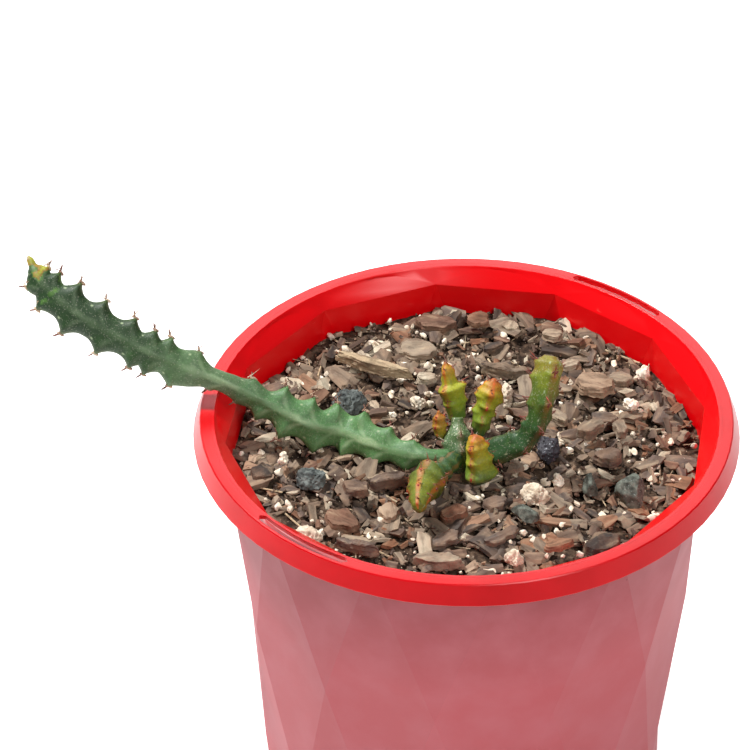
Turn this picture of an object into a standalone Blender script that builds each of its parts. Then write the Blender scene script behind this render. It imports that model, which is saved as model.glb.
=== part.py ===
"""Potted euphorbia: a trailing four-angled spurge in a faceted plastic nursery pot.

The pot stands on z = 0 with its axis on +Z. The long stem trails over the rim towards -X.
Sizes below are in millimetres; meshes are built in metres.
"""
import math
import random

import bmesh
import bpy
from mathutils import Matrix, Vector, noise

MM = 0.001

# Driving dimensions of the pot.
POT_HEIGHT = 120.0
LIP_RADIUS = 70.0           # widest point, the bottom edge of the rim's skirt
FLANGE_OUTER_RADIUS = 68.2
FLANGE_INNER_RADIUS = 64.5
FLANGE_THICKNESS = 1.2
SKIRT_DROP = 5.5
SKIRT_THICKNESS = 1.0
WALL_TOP_RADIUS = 63.46     # outer cone through the facets' corners, carried up to the rim
WALL_TAPER = 0.0933         # radius lost per unit of depth
WALL_THICKNESS = 1.2
EDGE_BREAK = 0.3            # small chamfer on the moulding's edges
UNDER_FLANGE_RADIUS = 64.8  # where the wall's outside runs into the flange's underside
ROOT_FILLET = 0.1           # small step that eases the wall into the flange, inside and outside
ROUND_SEGMENTS = 72

# The wall is a band of flat triangles between three twelve-cornered rings.
FACETS = 12
FACET_STEP = math.tau / FACETS
FACET_START = math.radians(6.3)
RING_TOP_Z = POT_HEIGHT - 4.0
RING_MIDDLE_Z = POT_HEIGHT - 54.0
RING_LOW_Z = POT_HEIGHT - 105.0
TOP_LENS_RISE = 3.3         # height of the bowed facet over each top chord, inside
UNDER_LENS_RISE = 1.9       # the same outside, where the flange hides it
LOW_LENS_DROP = 9.0

# Floor and feet.
FLOOR_TOP = 3.5
RECESS_HEIGHT = 2.0
RECESS_DRAFT = 0.6
FOOT_RING_WIDTH = 2.6
BOSS_RADIUS = 10.0
DRAIN_HOLES = 8
DRAIN_HOLE_RADIUS = 4.5
DRAIN_CIRCLE_RADIUS = 33.0
DRAIN_CUTTER_DEPTH = 6.0
DRAIN_SEGMENTS = 16

# Two hanger slots through the flange, across from each other.
SLOT_INNER_RADIUS = 65.1
SLOT_OUTER_RADIUS = 67.3
SLOT_CENTRES = (math.radians(-129.5), math.radians(51.0))
SLOT_HALF_ANGLE = math.radians(12.3)
SLOT_STEPS = 10
CUT_THROUGH = 1.0           # how far a cutter passes the face that it leaves by

# Potting mix.
GAP = 0.4                   # clearance that touching pieces keep
SOIL_RIM_Z = 107.2
SOIL_LUMP = 0.7
SOIL_LUMP_SPAN = 9.0        # distance from one lump to the next
SOIL_RINGS = 6
SOIL_INSET = WALL_THICKNESS + GAP + 0.1
PIT_CENTRE = Vector((-2.0, -6.5, 0.0))
PIT_RADIUS = 3.9
PIT_DEPTH = 20.0
PIT_FLOOR_SHARE = 0.3       # the pit's floor radius as a share of its mouth's

STEM_RING_SPACING = 2.1     # along a stem, four rings to a tooth
TOOTH_PITCH = 8.4

# Loose pieces on the mix, larger ones only: kind, x, y, length, width, height, turn in degrees.
LOOSE_PIECES = (
    ("bark", -12, 41, 12, 9, 2, -7),
    ("bark", -7, 52, 13, 8, 3, -12),
    ("bark", 4, 50, 7, 7, 2, 20),
    ("bark", 13, 51, 6, 6, 2, -10),
    ("bark", 24, 50, 7, 5, 2, -20),
    ("bark", 24, 44, 7, 5, 2, -8),
    ("bark", 8, 42, 8, 4, 2, 23),
    ("bark", 11, 31, 15, 4, 3, -13),
    ("bark", 28, 34, 7, 5, 2, 27),
    ("bark", 41, 28, 7, 7, 2, -18),
    ("bark", 34, 22, 13, 9, 3, -19),
    ("bark", 36, 11, 8, 6, 2, -15),
    ("bark", 32, 3, 9, 6, 3, 42),
    ("bark", 36, -6, 8, 6, 3, 17),
    ("bark", 40, 4, 8, 4, 2, -77),
    ("bark", 24, 12, 9, 4, 2, -56),
    ("bark", -52, -11, 8, 7, 2, -44),
    ("bark", -20, -15, 12, 4, 3, 23),
    ("bark", -28, -21, 8, 7, 2, -19),
    ("bark", -20, -27, 8, 6, 2, -73),
    ("bark", -32, -30, 12, 8, 2, -33),
    ("bark", -28, -41, 15, 3, 3, -22),
    ("bark", -4, -29, 9, 6, 3, 29),
    ("bark", -6, -38, 10, 6, 2, 28),
    ("bark", -8, -47, 15, 5, 3, -5),
    ("bark", 8, -37, 12, 4, 2, 30),
    ("bark", 33, -41, 12, 8, 3, 27),
    ("bark", 22, -44, 9, 4, 2, 13),
    ("bark", 7, -24, 7, 6, 2, 17),
    ("bark", -50, 24, 9, 4, 2, 26),
    ("bark", -10, 29, 6, 5, 2, 3),
    ("splinter", -24, 31, 26, 4, 3, -24),
    ("scoria", -30, 17, 10, 10, 7, -5),
    ("scoria", -40, -14, 10, 8, 5, -23),
    ("charcoal", 21, -3, 10, 7, 6, -79),
    ("dark_stone", 41, -21, 14, 10, 9, -84),
    ("dark_stone", 31, -18, 9, 5, 6, -82),
    ("dark_stone", 14, -31, 10, 6, 4, -29),
    ("pumice", -40, -36, 9, 6, 4, -34),
    ("pumice", 17, -21, 9, 8, 5, -40),
    ("pumice", 11, 20, 8, 4, 5, -88),
    ("pumice", 11, -46, 6, 5, 4, -73),
    ("perlite", 47, 28, 4, 4, 3, 0),
    ("perlite", 43, 14, 4, 4, 3, -27),
    ("perlite", -12, 18, 5, 4, 3, -13),
    ("perlite", 23, -14, 5, 3, 3, -64),
    ("perlite", -47, -8, 4, 3, 3, -87),
)
FLAT_KINDS = ("bark", "splinter")


def clear_scene():
    for old in list(bpy.data.objects):
        bpy.data.objects.remove(old, do_unlink=True)


def make_material(name, colour, roughness, metallic=0.0):
    material = bpy.data.materials.new(name)
    material.use_nodes = True
    shader = material.node_tree.nodes["Principled BSDF"]
    shader.inputs["Base Color"].default_value = (*colour, 1.0)
    shader.inputs["Roughness"].default_value = roughness
    shader.inputs["Metallic"].default_value = metallic
    return material


def add_object(name, bm, material=None, sharp_degrees=None):
    """Turn a bmesh in millimetres into a named object in metres."""
    bmesh.ops.recalc_face_normals(bm, faces=bm.faces[:])
    bmesh.ops.scale(bm, vec=(MM, MM, MM), verts=bm.verts[:])
    mesh = bpy.data.meshes.new(name)
    bm.to_mesh(mesh)
    bm.free()
    if sharp_degrees is not None:
        mesh.shade_smooth()
        mesh.set_sharp_from_angle(angle=math.radians(sharp_degrees))
    if material:
        mesh.materials.append(material)
    obj = bpy.data.objects.new(name, mesh)
    bpy.context.scene.collection.objects.link(obj)
    return obj


def polar(radius, angle, z):
    return Vector((radius * math.cos(angle), radius * math.sin(angle), z))


def add_ring(bm, radius, z, count=ROUND_SEGMENTS, start=FACET_START):
    step = math.tau / count
    return [bm.verts.new(polar(radius, start + i * step, z)) for i in range(count)]


def join_rings(bm, first, second):
    count = len(first)
    for i in range(count):
        j = (i + 1) % count
        bm.faces.new((first[i], first[j], second[j], second[i]))


def lens_row(bm, corners, corner_radius, corner_z, rise, edge_radius):
    """Points of the bowed edge where a tilted flat facet over each chord meets the round wall.

    The cone runs from corner_radius at corner_z to edge_radius at corner_z + rise, and the facet
    runs from the chord to the cone's edge at the chord's middle. Corners are shared.
    """
    per_facet = ROUND_SEGMENTS // FACETS
    flare = (edge_radius - corner_radius) / rise
    chord_radius = corner_radius * math.cos(FACET_STEP / 2)
    slope = (edge_radius - chord_radius) / rise
    row = []
    for k in range(FACETS):
        row.append(corners[k])
        for j in range(1, per_facet):
            from_middle = FACET_STEP * (j / per_facet - 0.5)
            along = corner_radius * math.cos(from_middle) - chord_radius
            height = along / (slope - flare * math.cos(from_middle))
            angle = FACET_START + FACET_STEP * (k + j / per_facet)
            row.append(bm.verts.new(polar(corner_radius + flare * height, angle, corner_z + height)))
    for k in range(FACETS):
        arc = row[k * per_facet:(k + 1) * per_facet]
        bm.faces.new(arc + [corners[(k + 1) % FACETS]])
    return row


def join_facet_rings(bm, upper, lower, lower_lead):
    """Triangles between two rings of corners; lower corner k + lower_lead lies under facet k."""
    for k in range(FACETS):
        j = (k + 1) % FACETS
        under = lower[(k + lower_lead) % FACETS]
        under_next = lower[(k + 1 + lower_lead) % FACETS]
        bm.faces.new((upper[k], upper[j], under))
        bm.faces.new((upper[j], under_next, under))


def wall_radius(z, inset):
    return WALL_TOP_RADIUS - WALL_TAPER * (POT_HEIGHT - z) - inset


def faceted_wall(bm, inset, top_rise, top_edge_radius, low_drop):
    """One side of the wall. Returns its upper and lower edges, each a full round row."""
    half = FACET_START + FACET_STEP / 2
    top = add_ring(bm, wall_radius(RING_TOP_Z, inset), RING_TOP_Z, FACETS)
    middle = add_ring(bm, wall_radius(RING_MIDDLE_Z, inset), RING_MIDDLE_Z, FACETS, half)
    low = add_ring(bm, wall_radius(RING_LOW_Z, inset), RING_LOW_Z, FACETS)
    join_facet_rings(bm, top, middle, 0)
    join_facet_rings(bm, middle, low, 1)
    top_row = lens_row(bm, top, wall_radius(RING_TOP_Z, inset), RING_TOP_Z, top_rise, top_edge_radius)
    low_edge_radius = wall_radius(RING_LOW_Z - low_drop, inset)
    low_row = lens_row(bm, low, wall_radius(RING_LOW_Z, inset), RING_LOW_Z, -low_drop, low_edge_radius)
    return top_row, low_row


def slot_cutter(bm, centre_angle):
    """A curved slot with round ends, standing through the flange."""
    middle = (SLOT_INNER_RADIUS + SLOT_OUTER_RADIUS) / 2
    half_width = (SLOT_OUTER_RADIUS - SLOT_INNER_RADIUS) / 2
    straight_half = SLOT_HALF_ANGLE - half_width / middle
    outline = []
    for side, first, last in ((half_width, -1, 1), (-half_width, 1, -1)):
        for i in range(SLOT_STEPS + 1):
            turn = first + (last - first) * i / SLOT_STEPS
            outline.append(polar(middle + side, centre_angle + turn * straight_half, 0.0))
        tip = polar(middle, centre_angle + last * SLOT_HALF_ANGLE, 0.0)
        outline.append(tip)
    bottom_z = POT_HEIGHT - FLANGE_THICKNESS - CUT_THROUGH
    top_z = POT_HEIGHT + CUT_THROUGH
    face = bm.faces.new([bm.verts.new(point + Vector((0, 0, bottom_z))) for point in outline])
    grown = bmesh.ops.extrude_face_region(bm, geom=[face])["geom"]
    moved = [item for item in grown if isinstance(item, bmesh.types.BMVert)]
    bmesh.ops.translate(bm, vec=(0, 0, top_z - bottom_z), verts=moved)


def make_pot(material):
    """Flange, hanging skirt, faceted wall and drained floor, moulded as one piece."""
    bm = bmesh.new()
    under_flange = POT_HEIGHT - FLANGE_THICKNESS
    inner_edge = FLANGE_INNER_RADIUS - EDGE_BREAK
    inner_top, inner_low = faceted_wall(bm, WALL_THICKNESS, TOP_LENS_RISE, inner_edge, LOW_LENS_DROP)
    outer_top, outer_low = faceted_wall(bm, 0.0, UNDER_LENS_RISE, UNDER_FLANGE_RADIUS, LOW_LENS_DROP)

    skirt_bottom = POT_HEIGHT - SKIRT_DROP
    skirt_inner = LIP_RADIUS - SKIRT_THICKNESS
    rim_profile = (
        (inner_edge + ROOT_FILLET, POT_HEIGHT - EDGE_BREAK),
        (FLANGE_INNER_RADIUS, POT_HEIGHT),
        (FLANGE_OUTER_RADIUS - EDGE_BREAK, POT_HEIGHT),
        (FLANGE_OUTER_RADIUS, POT_HEIGHT - EDGE_BREAK),
        (LIP_RADIUS, skirt_bottom + EDGE_BREAK),
        (LIP_RADIUS - EDGE_BREAK, skirt_bottom),
        (skirt_inner, skirt_bottom),
        (FLANGE_OUTER_RADIUS - SKIRT_THICKNESS, under_flange),
        (UNDER_FLANGE_RADIUS + ROOT_FILLET, under_flange),
    )
    previous = inner_top
    for radius, z in rim_profile:
        ring = add_ring(bm, radius, z)
        join_rings(bm, previous, ring)
        previous = ring
    join_rings(bm, previous, outer_top)

    base_radius = wall_radius(0.0, 0.0)
    foot_inner = base_radius - FOOT_RING_WIDTH
    foot_profile = (
        (base_radius, EDGE_BREAK),
        (base_radius - EDGE_BREAK, 0.0),
        (foot_inner, 0.0),
        (foot_inner - RECESS_DRAFT, RECESS_HEIGHT),
        (BOSS_RADIUS + RECESS_DRAFT, RECESS_HEIGHT),
        (BOSS_RADIUS, 0.0),
    )
    previous = outer_low
    for radius, z in foot_profile:
        ring = add_ring(bm, radius, z)
        join_rings(bm, previous, ring)
        previous = ring
    bm.faces.new(previous)

    floor_ring = add_ring(bm, wall_radius(FLOOR_TOP, WALL_THICKNESS), FLOOR_TOP)
    join_rings(bm, inner_low, floor_ring)
    bm.faces.new(floor_ring)
    pot = add_object("pot", bm, material, sharp_degrees=25)

    cutter_bm = bmesh.new()
    for centre_angle in SLOT_CENTRES:
        slot_cutter(cutter_bm, centre_angle)
    for i in range(DRAIN_HOLES):
        place = polar(DRAIN_CIRCLE_RADIUS, math.tau * i / DRAIN_HOLES, (RECESS_HEIGHT + FLOOR_TOP) / 2)
        bmesh.ops.create_cone(
            cutter_bm, cap_ends=True, segments=DRAIN_SEGMENTS, radius1=DRAIN_HOLE_RADIUS,
            radius2=DRAIN_HOLE_RADIUS, depth=DRAIN_CUTTER_DEPTH, matrix=Matrix.Translation(place))
    cutter = add_object("pot_openings", cutter_bm)
    cutter.hide_render = True
    cutter.display_type = "WIRE"
    cut = pot.modifiers.new("openings", "BOOLEAN")
    cut.operation = "DIFFERENCE"
    cut.solver = "EXACT"
    cut.object = cutter


def soil_height(x, y):
    return SOIL_RIM_Z + SOIL_LUMP * noise.noise(Vector((x, y, 0.0)) / SOIL_LUMP_SPAN)


def make_potting_mix(material):
    """The root ball of mix: it fills the faceted wall, with a lumpy top and a pit for the root."""
    bm = bmesh.new()
    half = FACET_START + FACET_STEP / 2
    fraction = (RING_TOP_Z - SOIL_RIM_Z) / (RING_TOP_Z - RING_MIDDLE_Z)
    middle = add_ring(bm, wall_radius(RING_MIDDLE_Z, SOIL_INSET), RING_MIDDLE_Z, FACETS, half)
    low = add_ring(bm, wall_radius(RING_LOW_Z, SOIL_INSET), RING_LOW_Z, FACETS)
    bottom_z = FLOOR_TOP + GAP
    bottom = add_ring(bm, wall_radius(bottom_z, SOIL_INSET), bottom_z, FACETS)
    join_facet_rings(bm, middle, low, 1)
    join_rings(bm, low, bottom)
    bm.faces.new(bottom)

    outline = []
    for k in range(FACETS):
        corner = polar(wall_radius(RING_TOP_Z, SOIL_INSET), FACET_START + k * FACET_STEP, RING_TOP_Z)
        before = middle[(k - 1) % FACETS]
        after = middle[k]
        outline.append(bm.verts.new(corner.lerp(before.co, fraction)))
        outline.append(bm.verts.new(corner.lerp(after.co, fraction)))
    count = len(outline)
    for k in range(FACETS):
        bm.faces.new((outline[2 * k], outline[2 * k + 1], middle[k], middle[(k - 1) % FACETS]))
        bm.faces.new((outline[2 * k + 1], outline[(2 * k + 2) % count], middle[k]))

    previous = outline
    for ring_number in range(1, SOIL_RINGS + 1):
        share = ring_number / SOIL_RINGS
        ring = []
        for rim_vert in outline:
            angle = math.atan2(rim_vert.co.y - PIT_CENTRE.y, rim_vert.co.x - PIT_CENTRE.x)
            pit_edge = PIT_CENTRE + polar(PIT_RADIUS, angle, 0.0)
            point = rim_vert.co.lerp(pit_edge, share)
            point.z = soil_height(point.x, point.y)
            ring.append(bm.verts.new(point))
        join_rings(bm, previous, ring)
        previous = ring
    pit_floor = [bm.verts.new(PIT_CENTRE + (vert.co - PIT_CENTRE) * PIT_FLOOR_SHARE) for vert in previous]
    for vert in pit_floor:
        vert.co.z = SOIL_RIM_Z - PIT_DEPTH
    join_rings(bm, previous, pit_floor)
    bm.faces.new(pit_floor)
    add_object("potting_mix", bm, material)


def smooth_path(points, spacing):
    """Even steps along a smooth curve through the points, and the curve's length."""
    ends = [2 * points[0] - points[1]] + points + [2 * points[-1] - points[-2]]
    fine = []
    steps = 12
    for a, b, c, d in zip(ends, ends[1:], ends[2:], ends[3:]):
        for i in range(steps):
            t = i / steps
            fine.append(0.5 * (2 * b + (c - a) * t + (2 * a - 5 * b + 4 * c - d) * t * t
                               + (3 * b - a - 3 * c + d) * t * t * t))
    fine.append(points[-1].copy())
    travelled = [0.0]
    for start, end in zip(fine, fine[1:]):
        travelled.append(travelled[-1] + (end - start).length)
    length = travelled[-1]
    count = max(4, round(length / spacing))
    even = []
    index = 0
    for i in range(count + 1):
        target = length * i / count
        while index < len(fine) - 2 and travelled[index + 1] < target:
            index += 1
        share = (target - travelled[index]) / (travelled[index + 1] - travelled[index])
        even.append(fine[index].lerp(fine[index + 1], share))
    return even, length


def read_profile(profile, place):
    """Radius at a place from 0 to 1, straight between the profile's stations."""
    for (start, first), (end, second) in zip(profile, profile[1:]):
        if place <= end:
            return first + (second - first) * (place - start) / (end - start)
    return profile[-1][1]


def make_stem(name, points, profile, ridges, groove, tooth, ridge_toward, material,
              keel=None, pitch=TOOTH_PITCH, spacing=STEM_RING_SPACING):
    """A closed angled stem: ridges run along it, and each is scalloped into teeth.

    The profile gives the teeth's reach. The first ridge faces ridge_toward, and the others
    follow it round, their teeth a step further on. With a keel, every second ridge is a plain
    low keel of that share of the reach, which makes the stem a blade.
    """
    centres, length = smooth_path([Vector(point) for point in points], spacing)
    bm = bmesh.new()
    rings = []
    for i, centre in enumerate(centres):
        before = centres[max(i - 1, 0)]
        after = centres[min(i + 1, len(centres) - 1)]
        along = (after - before).normalized()
        first = Vector(ridge_toward)
        first = (first - along * first.dot(along)).normalized()
        second = along.cross(first)
        place = i / (len(centres) - 1)
        radius = read_profile(profile, place)
        ring = []
        for j in range(2 * ridges):
            angle = math.pi * j / ridges
            reach = radius * groove
            if keel and j % 4 == 2:
                reach = radius * keel
            elif j % 2 == 0:
                phase = (length * place / pitch + j / (2 * ridges)) % 1.0
                reach = radius * (1 - tooth * (1 - (2 * phase - 1) ** 2))
            ring.append(bm.verts.new(centre + (first * math.cos(angle) + second * math.sin(angle)) * reach))
        rings.append(ring)
    for first_ring, second_ring in zip(rings, rings[1:]):
        join_rings(bm, first_ring, second_ring)
    bm.faces.new(rings[0])
    bm.faces.new(rings[-1])
    return add_object(name, bm, material, sharp_degrees=50)


def make_plant(old_green, young_green, crown_green):
    # Crown: a leaning caudex whose tap root goes down into the mix.
    make_stem(
        "crown",
        [(-2, -6.5, 90), (-2, -6.5, 98), (-2, -6.5, 106), (-2, -5.5, 111), (-2.2, -2.5, 115),
         (-2.3, 0, 118.5)],
        [(0, 0.7), (0.45, 2.6), (0.62, 3.2), (0.8, 2.8), (1, 1.6)],
        4, 0.8, 0.1, (1, -1, 0), crown_green)
    # The long stem is a blade on edge. It climbs over the rim and on past it, towards -X.
    make_stem(
        "trailing_stem",
        [(-9.5, -8, 114), (-17, -4, 114), (-25, 0, 115), (-32, 4, 115.5), (-40, 3, 117.5), (-52, 4, 121.5),
         (-62, 5, 124.5), (-73, 8.5, 130), (-83, 10, 135), (-93.5, 14, 140), (-103, 18.3, 145.2),
         (-108.5, 21.4, 148.8), (-111.4, 23.3, 152.8)],
        [(0, 2.6), (0.08, 4.2), (0.16, 6.4), (0.36, 6.6), (0.43, 5.0), (0.5, 3.4), (0.57, 5.2), (0.65, 6.8),
         (0.88, 6.8), (0.94, 4.8), (0.975, 2.4), (1, 1.6)],
        4, 0.5, 0.34, (0, 0.6, 0.8), old_green, keel=0.46)
    make_stem(
        "right_branch",
        [(4, -5.5, 112), (9, -8, 114.5), (14.5, -9, 118), (17.8, -9, 124), (19.3, -7.5, 131),
         (20.5, -4.5, 136), (21.3, -2, 139.5)],
        [(0, 2.4), (0.2, 3.8), (0.45, 3.6), (0.6, 3.9), (0.9, 4.4), (0.96, 3.2), (1, 1.8)],
        3, 0.6, 0.3, (1, -0.3, -0.3), old_green)
    make_stem(
        "front_shoot",
        [(-4, -11.8, 112), (-7, -18, 114.5), (-9.3, -25, 117), (-11, -31.5, 118), (-11.8, -36, 117)],
        [(0, 2.2), (0.4, 3.2), (0.66, 5.0), (0.8, 4.3), (0.93, 2.8), (1, 1.4)],
        4, 0.6, 0.3, (0, -0.5, -0.8), young_green)
    make_stem(
        "centre_shoot",
        [(1.8, -13.5, 109.5), (1.8, -13, 114), (1.8, -12.5, 118), (1.8, -12, 122)],
        [(0, 3.0), (0.3, 3.7), (0.75, 3.3), (0.92, 2.4), (1, 1.2)],
        3, 0.55, 0.3, (1, -0.4, 0), young_green)
    make_stem(
        "back_left_shoot",
        [(-2.2, 5.6, 112), (-3, 7.5, 118), (-4.2, 9.3, 123), (-5.2, 11, 128)],
        [(0, 1.4), (0.35, 3.0), (0.6, 4.3), (0.7, 2.2), (0.9, 1.9), (1, 0.7)],
        3, 0.55, 0.1, (1, 0, 0), young_green)
    make_stem(
        "back_right_shoot",
        [(3.4, 2.6, 111), (4.3, 4, 116), (6, 5.6, 121), (7.4, 7, 125.5)],
        [(0, 1.6), (0.3, 2.9), (0.7, 3.6), (0.88, 2.4), (1, 1.0)],
        3, 0.55, 0.15, (-1, 0, 0.3), young_green)
    make_stem(
        "small_bud",
        [(-7, -1, 114.5), (-7.1, -0.8, 117), (-7.1, -0.5, 120.5)],
        [(0, 0.9), (0.4, 1.7), (0.7, 1.6), (1, 0.5)],
        4, 0.75, 0.0, (1, 0, 0), young_green, spacing=1.2)


def footprints_meet(first, second):
    """True where two turned rectangles, each (x, y, length, width, turn), come within GAP."""
    for x, y, length, width, turn in (first, second):
        for angle in (turn, turn + math.pi / 2):
            axis = Vector((math.cos(angle), math.sin(angle)))
            reach = 0.0
            for box in (first, second):
                lengthwise = Vector((math.cos(box[4]), math.sin(box[4])))
                reach += box[2] / 2 * abs(axis.dot(lengthwise))
                reach += box[3] / 2 * abs(axis.cross(lengthwise))
            apart = abs(axis.dot(Vector((first[0] - second[0], first[1] - second[1]))))
            if apart > reach + GAP:
                return False
    return True


def chip_mesh(length, width, height, rng):
    """A flat broken flake: an uneven outline drawn up to a slightly smaller top."""
    corners = rng.randint(6, 8)
    outline = []
    for i in range(corners):
        angle = math.tau * (i + rng.uniform(-0.25, 0.25)) / corners
        outline.append(Vector((math.cos(angle), math.sin(angle), 0.0)) * rng.uniform(0.82, 1.0))
    bm = bmesh.new()
    face = bm.faces.new([bm.verts.new((p.x * length / 2, p.y * width / 2, 0.0)) for p in outline])
    grown = bmesh.ops.extrude_face_region(bm, geom=[face])["geom"]
    top = [item for item in grown if isinstance(item, bmesh.types.BMVert)]
    for vert in top:
        vert.co = Vector((vert.co.x * 0.9, vert.co.y * 0.85, height))
    return bm


def lump_mesh(length, width, height, rng):
    """An uneven stone with a flattened underside."""
    bm = bmesh.new()
    bmesh.ops.create_icosphere(bm, subdivisions=2, radius=1.0)
    shift = Vector((rng.uniform(0, 50), rng.uniform(0, 50), rng.uniform(0, 50)))
    for vert in bm.verts:
        reach = 0.86 + 0.14 * noise.noise(vert.co * 1.3 + shift)
        point = vert.co * reach
        up = point.z if point.z > 0 else point.z * 0.2
        vert.co = Vector((point.x * length / 2, point.y * width / 2, (up + 0.2) / 1.2 * height))
    return bm


def make_loose_pieces(materials):
    """Each piece settles flat on the mix, or on the earlier pieces that it lies across."""
    counts = {}
    settled = []
    ground = SOIL_RIM_Z + SOIL_LUMP + GAP
    for number, (kind, x, y, length, width, height, turn) in enumerate(LOOSE_PIECES):
        counts[kind] = counts.get(kind, 0) + 1
        rng = random.Random(number)
        footprint = (x, y, length, width, math.radians(turn))
        rest = ground
        for other, top in settled:
            if footprints_meet(footprint, other):
                rest = max(rest, top + GAP)
        settled.append((footprint, rest + height))
        make_mesh = chip_mesh if kind in FLAT_KINDS else lump_mesh
        bm = make_mesh(length, width, height, rng)
        piece = add_object(f"{kind}_{counts[kind]:02d}", bm, materials[kind])
        piece.location = Vector((x, y, rest)) * MM
        piece.rotation_euler = (0.0, 0.0, math.radians(turn))


def main():
    clear_scene()
    red_plastic = make_material("moulded_red_polypropylene", (0.62, 0.02, 0.03), 0.38)
    mix = make_material("potting_mix", (0.12, 0.085, 0.06), 0.95)
    old_green = make_material("old_stem_skin", (0.06, 0.16, 0.06), 0.5)
    young_green = make_material("young_stem_skin", (0.36, 0.42, 0.06), 0.45)
    crown_green = make_material("crown_skin", (0.12, 0.22, 0.14), 0.6)
    make_pot(red_plastic)
    make_potting_mix(mix)
    make_plant(old_green, young_green, crown_green)
    make_loose_pieces({
        "bark": make_material("pine_bark", (0.25, 0.16, 0.11), 0.9),
        "splinter": make_material("dry_wood", (0.45, 0.35, 0.22), 0.9),
        "scoria": make_material("scoria", (0.14, 0.15, 0.15), 0.95),
        "charcoal": make_material("charcoal", (0.05, 0.05, 0.06), 0.9),
        "dark_stone": make_material("dark_stone", (0.09, 0.12, 0.11), 0.8),
        "pumice": make_material("pumice", (0.70, 0.62, 0.48), 0.95),
        "perlite": make_material("perlite", (0.85, 0.82, 0.75), 0.9),
    })


main()
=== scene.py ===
# %% [markdown]
# # A potted euphorbia
# The CAD frame already holds this plant at its true size: a red plastic pot, the mix that fills it,
# a cactus-like plant with one long stem hanging over the rim, and the bigger bits of bark and stone
# that lie on top. In this lesson each of them is modelled again with all that the eye sees up close.
# Everything is in metres, with the pot standing at the origin and Z pointing up.

# %% Load the frame
import math
import random
from functools import partial

import bpy
from mathutils import Matrix, Vector, noise


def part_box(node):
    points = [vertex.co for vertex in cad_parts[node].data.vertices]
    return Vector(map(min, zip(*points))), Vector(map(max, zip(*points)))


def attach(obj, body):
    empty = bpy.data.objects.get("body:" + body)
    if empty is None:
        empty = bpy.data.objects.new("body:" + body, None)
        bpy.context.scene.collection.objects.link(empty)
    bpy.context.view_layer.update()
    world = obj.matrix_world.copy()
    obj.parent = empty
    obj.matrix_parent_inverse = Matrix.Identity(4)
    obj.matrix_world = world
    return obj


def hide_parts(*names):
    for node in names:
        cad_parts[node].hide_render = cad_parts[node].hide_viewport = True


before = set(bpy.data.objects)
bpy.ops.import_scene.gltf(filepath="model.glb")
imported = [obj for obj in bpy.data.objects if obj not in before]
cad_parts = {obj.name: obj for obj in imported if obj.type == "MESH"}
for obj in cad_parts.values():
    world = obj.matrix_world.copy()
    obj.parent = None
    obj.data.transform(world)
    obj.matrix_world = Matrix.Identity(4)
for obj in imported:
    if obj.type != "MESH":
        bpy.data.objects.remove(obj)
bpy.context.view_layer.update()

MM = 0.001

# %% [markdown]
# ## Tools used all through
# A few short functions save us from repeating ourselves.

# %% Small tools for modelling
def select_only(*objects):
    """Nothing is selected but these objects, and the first of them is active."""
    if bpy.context.mode != "OBJECT":
        bpy.ops.object.mode_set(mode="OBJECT")
    bpy.ops.object.select_all(action="DESELECT")
    for item in objects:
        item.select_set(True)
    bpy.context.view_layer.objects.active = objects[0] if objects else None


def apply_modifiers(piece):
    select_only(piece)
    for modifier in list(piece.modifiers):
        bpy.ops.object.modifier_apply(modifier=modifier.name)


def store(mesh, name, values, kind="FLOAT"):
    """Keeps one value for each vertex in the mesh, for a material to read by its name."""
    layer = mesh.attributes.get(name) or mesh.attributes.new(name, kind, "POINT")
    if kind == "FLOAT":
        layer.data.foreach_set("value", values)
    else:
        layer.data.foreach_set("vector", [number for value in values for number in value])


def copy_of_node(node, name):
    """The CAD solid as one welded mesh of our own."""
    piece = bpy.data.objects[node].copy()
    piece.data = piece.data.copy()
    piece.parent = None
    piece.name = name
    for key in list(piece.keys()):
        del piece[key]
    bpy.context.scene.collection.objects.link(piece)
    piece.hide_render = False
    piece.hide_viewport = False
    select_only(piece)
    bpy.ops.object.mode_set(mode="EDIT")
    bpy.ops.mesh.select_all(action="SELECT")
    bpy.ops.mesh.remove_doubles(threshold=0.01 * MM)
    bpy.ops.mesh.normals_make_consistent(inside=False)
    bpy.ops.object.mode_set(mode="OBJECT")
    return piece


def finish(piece, material, nodes=(), smooth_degrees=40, recalculate=True):
    """The last steps of every piece."""
    select_only(piece)
    if recalculate:
        bpy.ops.object.mode_set(mode="EDIT")
        bpy.ops.mesh.select_all(action="SELECT")
        bpy.ops.mesh.normals_make_consistent(inside=False)
        bpy.ops.object.mode_set(mode="OBJECT")
    bpy.ops.object.shade_smooth_by_angle(angle=math.radians(smooth_degrees))
    piece.data.materials.clear()
    piece.data.materials.append(material)
    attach(piece, "root")
    if nodes:
        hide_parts(*nodes)
    print(f"{piece.name}: {len(piece.data.polygons)} faces")
    return piece


# %% [markdown]
# ## Tools for materials
# Colours are written the way a painter picks them, as six hex digits in sRGB. Blender's shaders add
# and multiply light, so srgb() turns them into linear values. add_node() puts in one node of any kind
# and hands back one of its outputs. A list fills the node's inputs from the top, and a dictionary
# picks them by name or number. Each is a number, a colour's hex digits, or another node's output to
# link. A Mix node has inputs for every kind of value: 6 and 7 are its two colours, and 2 its result.

# %% Small tools for materials
def srgb(digits):
    values = [int(digits[start:start + 2], 16) / 255 for start in (0, 2, 4)]
    return tuple(v / 12.92 if v <= 0.04045 else ((v + 0.055) / 1.055) ** 2.4 for v in values) + (1.0,)


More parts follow.
